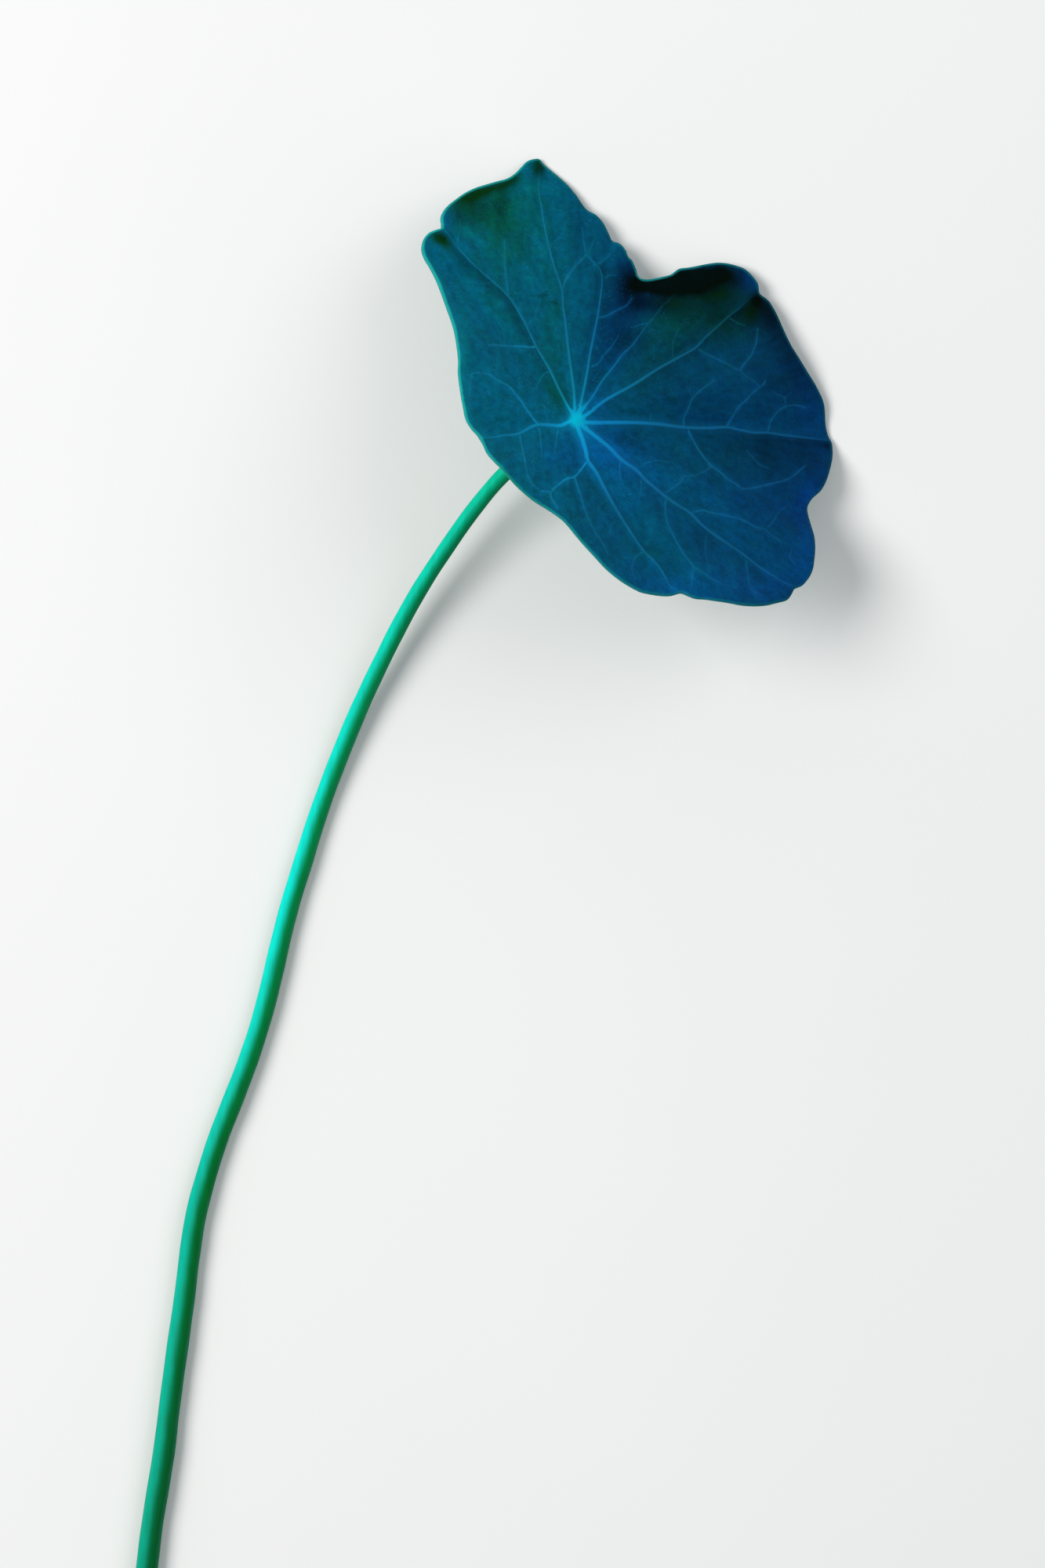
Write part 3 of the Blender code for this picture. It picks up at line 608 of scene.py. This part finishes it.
def blade_mesh():
    """Vertices and faces of the closed blade, its fields for the colours, and its points laid flat."""
    plan, faces = blade_plan()
    rho, angle = reach(plan)
    edge_gap = distance_to([np.vstack([margin_fine[::4], margin_fine[:1]])], [1], plan)[0]
    main_gap, main_share, vein, hand = distance_to(main_lines, range(len(main_lines)), plan)
    vein = vein.astype(int)
    side_gap, side_share, side_value, _ = distance_to(side_lines, side_force, plan)
    fine_gap, fine_share, fine_value, _ = distance_to(fine_lines, fine_force, plan)
    hub_gap = np.linalg.norm(plan, axis=1)

    east = blade_surface(plan + (SLOPE_STEP, 0)) - blade_surface(plan - (SLOPE_STEP, 0))
    north = blade_surface(plan + (0, SLOPE_STEP)) - blade_surface(plan - (0, SLOPE_STEP))
    normal = np.cross(east, north)
    normal /= np.linalg.norm(normal, axis=1)[:, None]

    half = np.array([v[0] for v in MAIN_VEINS])[vein] / 1000 * (1 - 0.55 * main_share)
    ridge = MAIN_RIDGE * bell(main_gap, half * 1.1) - MAIN_FURROW * bell(main_gap - half * 2.6, half * 1.5)
    side_ridge = SIDE_RIDGE * bell(side_gap, SIDE_RIDGE_WIDTH) * side_value
    pucker = BROAD_PUCKER * np.sin(angle * 0.61 + 1.0) * np.sin(rho * 23 + angle * 0.13) * rho
    pucker += SMALL_PUCKER * np.sin(angle * 1.7 + rho * 11) * np.sin(rho * 41) * rho
    relief = (ridge + side_ridge + pucker) * np.clip(edge_gap / RELIEF_EDGE, 0, 1)
    main_rib = MAIN_RIB * (1 - 0.6 * main_share) * bell(main_gap, MAIN_RIB_WIDTH)
    side_rib = SIDE_RIB * (1 - 0.6 * side_share) * side_value * bell(side_gap, SIDE_RIB_WIDTH)
    fine_rib = FINE_RIB * fine_value * bell(fine_gap, FINE_RIB_WIDTH)
    boss = (HUB_THICKNESS - BLADE_THICKNESS) * np.exp(-((hub_gap / HUB_RADIUS) ** 4))
    body = BLADE_THICKNESS * (0.55 + 0.45 * np.clip(edge_gap / THIN_EDGE, 0, 1) ** 0.5)
    depth = body + np.maximum.reduce([main_rib, side_rib, fine_rib, boss])
    top = blade_surface(plan)
    verts = np.vstack([top + normal * relief[:, None], top - normal * depth[:, None]])
    verts[:, 2] = np.maximum(verts[:, 2], FLOOR_GAP)
    verts[:, :2] += HUB_AT

    painted_shading_left, painted_shading_right = painted_vein_shading(vein, main_share, main_gap)
    fields = {
        "main": main_gap / half,
        "main_fade": vein_light(vein, main_share),
        "main_blue": np.array([v[1] for v in MAIN_VEINS])[vein],
        "lee": main_gap * hand * 1000,
        "painted_shading_left": painted_shading_left,
        "painted_shading_right": painted_shading_right,
        "side": side_gap / SIDE_VEIN_WIDTH,
        "side_fade": side_value * (1 - 0.35 * side_share),
        "fine": fine_gap / FINE_VEIN_WIDTH,
        "fine_fade": fine_value * (1 - 0.5 * fine_share),
        "edge": edge_gap * 1000,
        # the bright rim, a paler margin with a painted highlight, and the glow of painted light within it
        "rim": by_angle(angle, RIM_STRENGTH),
        "halo": by_angle(angle, HALO_STRENGTH),
        "moss_rim": by_angle(angle, MOSS_RIM_STRENGTH),
        "hub": hub_gap * 1000,
        # near-black and dark green patches of painted shade
        "black": patches(plan, BLACK_SHADE_PATCHES),
        "moss": patches(plan, DARK_GREEN_SHADE_PATCHES),
        "tint": 0.5 - 0.5 * patches(plan, GREEN_PATCHES) + 0.5 * patches(plan, AZURE_PATCHES),
        # bluer to the right, and darker there by painted shade
        "blue": np.clip((plan[:, 0] - DEEP_BLUE_FROM) / DEEP_BLUE_OVER, 0, 1),
        # painted shade and painted light of the soft patches, as a brightness factor
        "shade": 1 - patches(plan, PAINTED_SHADE_PATCHES) + patches(plan, PAINTED_LIGHT_PATCHES),
    }
    both_sides = {name: np.concatenate([values, values]) for name, values in fields.items()}
    both_sides["under"] = np.repeat([0.0, 1.0], len(plan))
    along = np.array(STRETCH_ALONG) / np.linalg.norm(STRETCH_ALONG)
    flat = plan + STRETCH * (plan @ along)[:, None] * along
    return verts, closed_shell(faces, len(plan)), both_sides, np.vstack([flat, flat]) * 1000


def stalk_path(head, head_axis):
    """The stalk's middle line from the hub outward, with the radius and the length at its points."""
    stations, thick = zip(*STALK_THICK)
    plan = to_plan([point[:2] for point in STALK_LINE])
    rough = length_along(plan)
    lying = np.interp(rough / rough[-1], stations, thick) / 2
    height = np.array([low if p[2] is None else p[2] / 1000 for p, low in zip(STALK_LINE, lying)])
    path = np.column_stack([seen_from_above(plan, height), height])
    path[0] = head
    path[1] = head - head_axis * HEAD_LENGTH
    line = curve_through(path, STALK_STEP)
    along = length_along(line)
    radius = np.interp(along / along[-1], stations, thick) / 2
    radius = radius * (1 + 0.012 * np.sin(along * 310) + 0.008 * np.sin(along * 790 + 1))
    low = line[:, 2] < radius + LYING_SLACK
    line[low, 2] = radius[low]
    return line, radius, along


def one_on(ring):
    """The ring's vertex numbers, moved on by one place."""
    return ring[1:] + ring[:1]


def stalk_mesh(head, head_axis):
    """Vertices and faces of the closed stalk, and its fields for the colours."""
    line, radius, along = stalk_path(head, head_axis)
    direction = np.gradient(line, axis=0)
    direction[0] = -head_axis
    direction /= np.linalg.norm(direction, axis=1)[:, None]
    verts = []
    faces = []
    marks = []  # for each vertex: across and up round the stalk, length from the hub, place on the cut
    turn = np.linspace(0, 2 * math.pi, STALK_SIDES, endpoint=False)
    for centre, axis, r, s in zip(line, direction, radius, along):
        side = np.cross(axis, (0, 0, 1))
        side /= np.linalg.norm(side)
        up = np.cross(side, axis)
        flutes = 1 + 0.010 * np.cos(turn * 9 + s * 30) + 0.006 * np.cos(turn * 5 - s * 55)
        ring = centre + r * flutes[:, None] * (np.cos(turn)[:, None] * side + np.sin(turn)[:, None] * up)
        ring[:, 2] = np.maximum(ring[:, 2], FLOOR_GAP)
        verts.extend(ring)
        marks.extend((across, over, s, 0.0) for across, over in zip(np.cos(turn), np.sin(turn)))
    edge = np.array(verts[-STALK_SIDES:])
    end = line[-1]
    for size, depth, place in CUT_RINGS:
        verts.extend(end + (edge - end) * size - direction[-1] * depth)
        marks.extend([(0.0, 1.0, along[-1], place)] * STALK_SIDES)
    rings = np.arange(len(verts)).reshape(-1, STALK_SIDES).tolist()
    for first, second in zip(rings, rings[1:]):
        faces.extend(zip(first, one_on(first), one_on(second), second))
    verts.append(end - direction[-1] * CUT_DEPTH)
    marks.append((0.0, 1.0, along[-1], 2.0))
    faces.extend((a, b, len(verts) - 1) for a, b in zip(rings[-1], one_on(rings[-1])))
    verts.append(line[0])
    marks.append((0.0, 1.0, 0.0, 0.0))
    faces.extend((b, a, len(verts) - 1) for a, b in zip(rings[0], one_on(rings[0])))
    verts = np.array(verts)
    verts[:, :2] += HUB_AT
    flank, over, length, cut = np.array(marks).T
    return verts, faces, {"flank": flank, "over": over, "along": length / along[-1], "cut": cut}


def mesh_object(name, verts, faces, fields, shade, flat=None):
    """A smooth object that carries its fields and its points laid flat as attributes."""
    mesh = bpy.data.meshes.new(name)
    mesh.from_pydata([tuple(map(float, v)) for v in verts], [], [tuple(map(int, f)) for f in faces])
    form = bmesh.new()
    form.from_mesh(mesh)
    bmesh.ops.recalc_face_normals(form, faces=form.faces)
    form.to_mesh(mesh)
    form.free()
    for key, values in fields.items():
        mesh.attributes.new(key, "FLOAT", "POINT").data.foreach_set("value", values.astype(np.float32))
    if flat is not None:
        laid = np.column_stack([flat, np.zeros(len(flat))]).astype(np.float32)
        mesh.attributes.new("laid", "FLOAT_VECTOR", "POINT").data.foreach_set("vector", laid.ravel())
    mesh.materials.append(shade)
    mesh.shade_smooth()
    made = bpy.data.objects.new(name, mesh)
    bpy.context.scene.collection.objects.link(made)
    return made


class Shade:
    """A node material with short calls for its nodes."""

    def __init__(self, name):
        self.material = bpy.data.materials.new(name)
        self.material.use_nodes = True
        self.tree = self.material.node_tree
        self.surface = self.tree.nodes["Principled BSDF"]

    def put(self, socket, value):
        if isinstance(value, bpy.types.NodeSocket):
            self.tree.links.new(value, socket)
        else:
            socket.default_value = value

    def node(self, kind, inputs=None, **settings):
        made = self.tree.nodes.new("ShaderNode" + kind)
        for key, value in settings.items():
            setattr(made, key, value)
        for key, value in (inputs or {}).items():
            self.put(made.inputs[key], value)
        return made

    def math(self, operation, a, b, clamp=False):
        return self.node("Math", {0: a, 1: b}, operation=operation, use_clamp=clamp).outputs[0]

    def times(self, *values):
        """The values' product."""
        return reduce(partial(self.math, "MULTIPLY"), values)

    def most(self, *values):
        """The largest of the values."""
        return reduce(partial(self.math, "MAXIMUM"), values)

    def total(self, *values):
        """The values' sum."""
        return reduce(partial(self.math, "ADD"), values)

    def rest(self, value):
        """What the value leaves of 1."""
        return self.math("SUBTRACT", 1.0, value)

    def field(self, name, output="Fac"):
        return self.node("Attribute", attribute_name=name, attribute_type="GEOMETRY").outputs[output]

    def scale(self, value, low, high, to_low, to_high, kind="LINEAR"):
        """The value's range from low to high, taken to another one."""
        span = {"Value": value, "From Min": low, "From Max": high, "To Min": to_low, "To Max": to_high}
        return self.node("MapRange", span, interpolation_type=kind).outputs[0]

    def fade(self, value, full, none, high=1.0):
        """High where the value is at full, 0 where it is at none, and smooth between."""
        return self.scale(value, none, full, 0.0, high, "SMOOTHSTEP")

    def swing(self, noise, to_low, to_high):
        """The middle range of a noise, taken to another range."""
        return self.scale(noise, 0.3, 0.7, to_low, to_high)

    def mix(self, factor, a, b, blend="MIX"):
        made = self.node("Mix", data_type="RGBA", blend_type=blend)
        for index, value in ((0, factor), (6, a), (7, b)):
            if isinstance(value, tuple):
                value = (*value, 1.0)
            self.put(made.inputs[index], value)
        return made.outputs[2]

    def tinted(self, colour, tint):
        """The colour multiplied by another one."""
        return self.mix(1.0, colour, tint, "MULTIPLY")

    def toned(self, colour, tone):
        """The colour multiplied by a number."""
        return self.tinted(colour, self.node("CombineColor", {0: tone, 1: tone, 2: tone}).outputs[0])

    def ramp(self, value, stops):
        """A colour that passes through the given (place, colour) stops."""
        made = self.node("ValToRGB", {0: value})
        parts = made.color_ramp.elements
        while len(parts) > 1:
            parts.remove(parts[-1])
        parts[0].position = stops[0][0]
        parts[0].color = (*stops[0][1], 1.0)
        for place, colour in stops[1:]:
            parts.new(place).color = (*colour, 1.0)
        return made.outputs[0]

    def noise(self, where, scale, detail, roughness=0.5, output=0):
        settings = {"Vector": where, "Scale": scale, "Detail": detail, "Roughness": roughness}
        return self.node("TexNoise", settings).outputs[output]

    def cells(self, where, scale, feature="DISTANCE_TO_EDGE"):
        made = self.node("TexVoronoi", {"Vector": where, "Scale": scale}, feature=feature)
        made.voronoi_dimensions = "2D"
        return made.outputs["Distance"]

    def net(self, where, gate):
        """Fine veins in two sizes of mesh."""
        wide = self.fade(self.cells(where, 0.26), 0.0, 0.035)
        small = self.fade(self.cells(where, 0.85), 0.0, 0.08)
        return self.times(self.most(wide, self.times(small, 0.45)), gate)

    def ragged(self, value, noise):
        """The value with its soft border broken up by the noise."""
        border = self.times(value, self.rest(value))
        return self.math("ADD", value, self.times(border, self.swing(noise, -0.9, 0.9)), clamp=True)

    def finish(self, colour, rough, gloss, level, depth, strength):
        """The material with its colour, roughness, gloss and a bump of the given depth in metres."""
        bump = self.node("Bump", {"Height": level, "Distance": depth, "Strength": strength}).outputs[0]
        look = {"Base Color": colour, "Roughness": rough, "Specular IOR Level": gloss, "Normal": bump}
        for key, value in look.items():
            self.put(self.surface.inputs[key], value)
        return self.material


def blade_marks(s):
    """What the blade's colours share: its place laid flat in millimetres, noises, veins and patches."""
    m = SimpleNamespace(laid=s.field("laid", "Vector"))
    m.blue = s.field("blue")
    m.hub = s.field("hub")
    m.edge = s.field("edge")
    m.mottle = s.noise(m.laid, 0.22, 4.0, 0.6)
    m.clump = s.noise(m.laid, 0.30, 2.0)
    m.blotch = s.noise(m.laid, 0.42, 4.0, 0.65)
    m.cloud = s.noise(m.laid, 0.9, 4.0, 0.65)

    m.core = s.fade(s.field("main"), 0.15, 1.15)
    m.glow = s.fade(s.field("main"), 0.5, 4.0)
    m.main_fade = s.field("main_fade")
    m.side_fade = s.field("side_fade")
    broken = s.scale(s.noise(m.laid, 0.9, 2.0), 0.35, 0.65, 0.76, 1.0)
    m.main = s.times(m.core, m.main_fade)
    m.side = s.times(s.fade(s.field("side"), 0.1, 1.25), m.side_fade, broken)
    m.fine = s.times(s.fade(s.field("fine"), 0.1, 1.3), s.field("fine_fade"), broken)

    wobble = s.noise(m.laid, 0.55, 2.0, output="Color")
    shift = s.node("VectorMath", {0: wobble, 3: 2.4}, operation="SCALE").outputs[0]
    m.net_at = s.node("VectorMath", {0: m.laid, 1: shift}, operation="ADD").outputs[0]
    below = s.node("VectorMath", {0: m.net_at, 1: (-0.10, 0.16, 0.0)}, operation="ADD").outputs[0]
    gate = s.scale(m.clump, 0.42, 0.60, 0.25, 1.0)
    m.net = s.net(m.net_at, gate)
    m.net_shadow = s.net(below, gate)

    # the painted shade, near-black and dark green, with its soft borders broken up
    m.black = s.ragged(s.field("black"), m.blotch)
    m.moss = s.ragged(s.field("moss"), m.cloud)
    m.lit = s.rest(s.times(s.most(m.black, s.times(m.moss, 0.7)), 0.92))
    m.tint = s.ramp(s.total(s.field("tint"), s.swing(m.blotch, -0.13, 0.13)), TINTS)
    m.vein_colour = s.mix(m.blue, *VEIN)
    return m


def blade_tone(s, m):
    """Light and dark over the blade: mottling, soft patches of painted shade and painted light, and
    painted shade beside the main veins.
    """
    mottling = s.times(
        s.swing(m.mottle, 0.85, 1.15), s.swing(m.cloud, 0.80, 1.20),
        s.swing(s.noise(m.laid, 3.4, 3.0, 0.7), 0.92, 1.08),
        s.swing(s.noise(m.net_at, 0.62, 4.0, 0.7), 0.87, 1.13),
    )
    # painted shade beside the main veins, left and right, painted light where negative
    lee = s.field("lee")
    left = s.times(s.fade(lee, 0.12, -0.12), s.field("painted_shading_left"))
    right = s.times(s.fade(lee, -0.12, 0.12), s.field("painted_shading_right"))
    # the shade field holds the painted shade and light of the soft patches
    return s.times(mottling, s.field("shade"), s.rest(s.total(left, right)))


def lamina_colour(s, m):
    """The blade's colour between its veins, with painted shade in dark green and near-black patches,
    and the finest net with its painted shadow.
    """
    tone = blade_tone(s, m)
    # the tone carries the painted shade and painted light
    colour = s.toned(s.tinted(s.mix(m.blue, *LAMINA), m.tint), tone)
    # dark green painted shade
    colour = s.mix(m.moss, colour, s.mix(m.blue, *DARK_GREEN_SHADE))
    # near-black painted shade
    colour = s.mix(s.times(m.black, 0.98), colour, BLACK_SHADE)
    colour = s.toned(colour, s.rest(s.times(m.net_shadow, 0.16)))
    return s.mix(s.times(m.net, 0.24, m.lit), colour, s.toned(m.vein_colour, tone))


def with_veins(s, m, veins, colour):
    """The colour with the veins over it, brightest at their roots, and the hub's star and disc."""
    near = s.fade(m.hub, 1.5, 17.0)
    vein = s.mix(near, m.vein_colour, s.mix(s.field("main_blue"), *ROOT))
    vein = s.toned(vein, s.most(m.main_fade, 1.0))
    vein = s.mix(s.math("SUBTRACT", 0.7, s.times(near, 0.6)), vein, s.tinted(vein, m.tint))
    colour = s.mix(s.times(veins, m.lit), colour, vein)
    star = s.times(s.fade(m.hub, 0.7, 4.2), s.most(m.core, s.times(m.glow, 0.25)))
    colour = s.mix(s.times(star, 0.85), colour, STAR)
    return s.mix(s.times(s.fade(m.hub, 0.5, 1.6), 0.9), colour, DISC)


def with_flecks(s, m, colour):
    """The colour with small pale flecks here and there on the bright side."""
    flecks = s.fade(s.cells(m.laid, 1.15, "F1"), 0.03, 0.12)
    gate = s.times(s.fade(m.clump, 0.60, 0.50), s.times(m.lit, s.fade(m.blue, 0.1, 0.9)))
    return s.mix(s.times(flecks, gate, 0.5), colour, FLECK)


def with_rim(s, m, colour):
    """The colour with the bright rim, a paler margin with a painted highlight, and within it a faint
    glow of painted light.
    """
    halo = s.times(s.fade(m.edge, 0.3, 1.9), s.times(s.field("halo"), m.lit))
    colour = s.mix(s.times(halo, 0.22), colour, HALO)
    rim_breakup = s.swing(s.noise(m.laid, 0.5, 2.0), 0.75, 1.0)
    rim = s.times(s.fade(m.edge, 0.12, 0.44), s.times(s.field("rim"), rim_breakup))
    rim_colour = s.mix(s.field("moss_rim"), s.mix(m.blue, *RIM), MOSS_RIM)
    return s.mix(s.times(rim, 0.92), colour, rim_colour)


def underside_colour(s, m):
    """Plain grey-green with paler veins."""
    colour = s.mix(m.mottle, *UNDERSIDE)
    colour = s.mix(s.times(m.net, 0.35), colour, UNDERSIDE_NET)
    veins = s.most(m.main, s.times(m.side, 0.8), s.times(m.fine, 0.5))
    return s.mix(s.times(veins, 0.9), colour, UNDERSIDE_VEIN)


def blade_shade():
    s = Shade("nasturtium_blade")
    m = blade_marks(s)
    side_glow = s.fade(s.field("side"), 0.5, 4.0)
    glow = s.most(s.times(m.glow, m.main_fade, 0.16), s.times(side_glow, m.side_fade, 0.14))
    veins = s.most(m.main, s.times(m.side, 0.95), s.times(m.fine, 0.62), glow)
    colour = with_veins(s, m, veins, lamina_colour(s, m))
    colour = with_rim(s, m, with_flecks(s, m, colour))
    colour = s.mix(s.field("under"), colour, underside_colour(s, m))
    rough = s.math("SUBTRACT", s.swing(m.cloud, 0.50, 0.66), s.times(veins, 0.08))
    grain = s.times(s.noise(m.laid, 6.5, 2.0), 0.35)
    level = s.total(s.times(m.net, -0.45), grain, s.times(m.fine, 0.5), s.times(m.cloud, 0.8))
    return s.finish(colour, rough, 0.015, level, 0.00009, 0.6)


def cut_colour(s, cut):
    """The stalk's cut end: pale pith in the middle and a dark ring near the edge."""
    pith = s.mix(s.fade(cut, 1.9, 1.25), *PITH)
    ring = s.times(s.fade(cut, 1.22, 1.10), s.fade(cut, 1.24, 1.42))
    return s.mix(s.times(ring, 0.7), pith, CUT_RING)


def stalk_shade():
    s = Shade("nasturtium_stalk")
    where = s.node("TexCoord").outputs["Object"]
    along = s.field("along")
    cut = s.field("cut")
    stretched = s.node("Mapping", {"Vector": where, "Scale": (1400.0, 160.0, 1400.0)}).outputs[0]
    streak = s.noise(stretched, 1.0, 3.0, 0.55)
    cloud = s.noise(where, 260.0, 3.0)
    # painted light on the left flank, painted shade on the right and on the underside
    lit_side = s.total(s.field("flank"), s.swing(cloud, -0.05, 0.05), s.fade(along, 0.05, 0.34, 0.24))
    colour = s.mix(s.fade(lit_side, 0.80, -0.40), s.ramp(along, STALK_SHADED), s.ramp(along, STALK_LIT))
    colour = s.mix(s.times(s.fade(lit_side, -1.0, -0.62), 0.45), colour, STALK_EDGE_LIGHT)
    below = s.fade(s.field("over"), -0.45, 0.35)
    colour = s.mix(s.times(below, 0.85), colour, STALK_UNDERSIDE_SHADE)
    colour = s.toned(colour, s.swing(streak, 0.90, 1.08))
    colour = s.mix(s.fade(cut, 0.95, 0.5), colour, cut_colour(s, cut))
    level = s.total(s.times(streak, 0.8), s.times(cloud, 0.4))
    return s.finish(colour, s.swing(cloud, 0.42, 0.56), 0.03, level, 0.00006, 0.5)


def floor_shade():
    s = Shade("pale_floor")
    where = s.node("TexCoord").outputs["Object"]
    s.put(s.surface.inputs["Base Color"], s.mix(s.noise(where, 7.0, 3.0), *FLOOR))
    s.surface.inputs["Roughness"].default_value = 0.8
    return s.material


def area_light(name, place, size, power, colour):
    """A round light that faces the origin."""
    data = bpy.data.lights.new(name, "AREA")
    data.shape = "DISK"
    data.size = size
    data.energy = power
    data.color = colour
    made = bpy.data.objects.new(name, data)
    made.location = place
    made.rotation_euler = (-Vector(place)).to_track_quat("-Z", "Y").to_euler()
    bpy.context.scene.collection.objects.link(made)


blade_verts, blade_faces, blade_fields, blade_flat = blade_mesh()
blade = mesh_object("blade_skin", blade_verts, blade_faces, blade_fields, blade_shade(), blade_flat)
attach(blade, "root")
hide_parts("leaf_blade")

hub_axis = np.array(HUB_AXIS) / np.linalg.norm(HUB_AXIS)
head = np.array([0.0, 0.0, HUB_HEIGHT]) - hub_axis * (HUB_THICKNESS - HEAD_SINK)
stalk_verts, stalk_faces, stalk_fields = stalk_mesh(head, hub_axis)
stalk = mesh_object("stalk_skin", stalk_verts, stalk_faces, stalk_fields, stalk_shade())
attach(stalk, "root")
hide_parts("leaf_stalk")

bpy.ops.mesh.primitive_plane_add(size=6.0, location=(0, 0, 0))
floor = bpy.context.object
floor.name = "floor"
floor.data.materials.append(floor_shade())

sight = to_plan(SIGHT_POINT) + HUB_AT
camera_data = bpy.data.cameras.new("camera")
camera_data.sensor_fit = "VERTICAL"
camera_data.sensor_height = SENSOR
camera_data.lens = SENSOR * SIGHT_HEIGHT / (FRAME_HEIGHT * UNIT)
camera_data.clip_start = 0.01
camera_data.clip_end = 20.0
camera = bpy.data.objects.new("camera", camera_data)
camera.location = (*sight, SIGHT_HEIGHT)
bpy.context.scene.collection.objects.link(camera)
bpy.context.scene.camera = camera

world = bpy.data.worlds.new("studio")
world.use_nodes = True
sky = world.node_tree.nodes["Background"].inputs
sky["Color"].default_value = SKY
sky["Strength"].default_value = SKY_STRENGTH
bpy.context.scene.world = world
area_light("key", (-0.75, 0.25, 0.95), 0.7, 13.0, (1.0, 0.99, 0.97))
area_light("fill", (0.8, 0.5, 0.9), 0.9, 4.0, (0.95, 0.98, 1.0))
bpy.context.scene.view_settings.view_transform = "Standard"
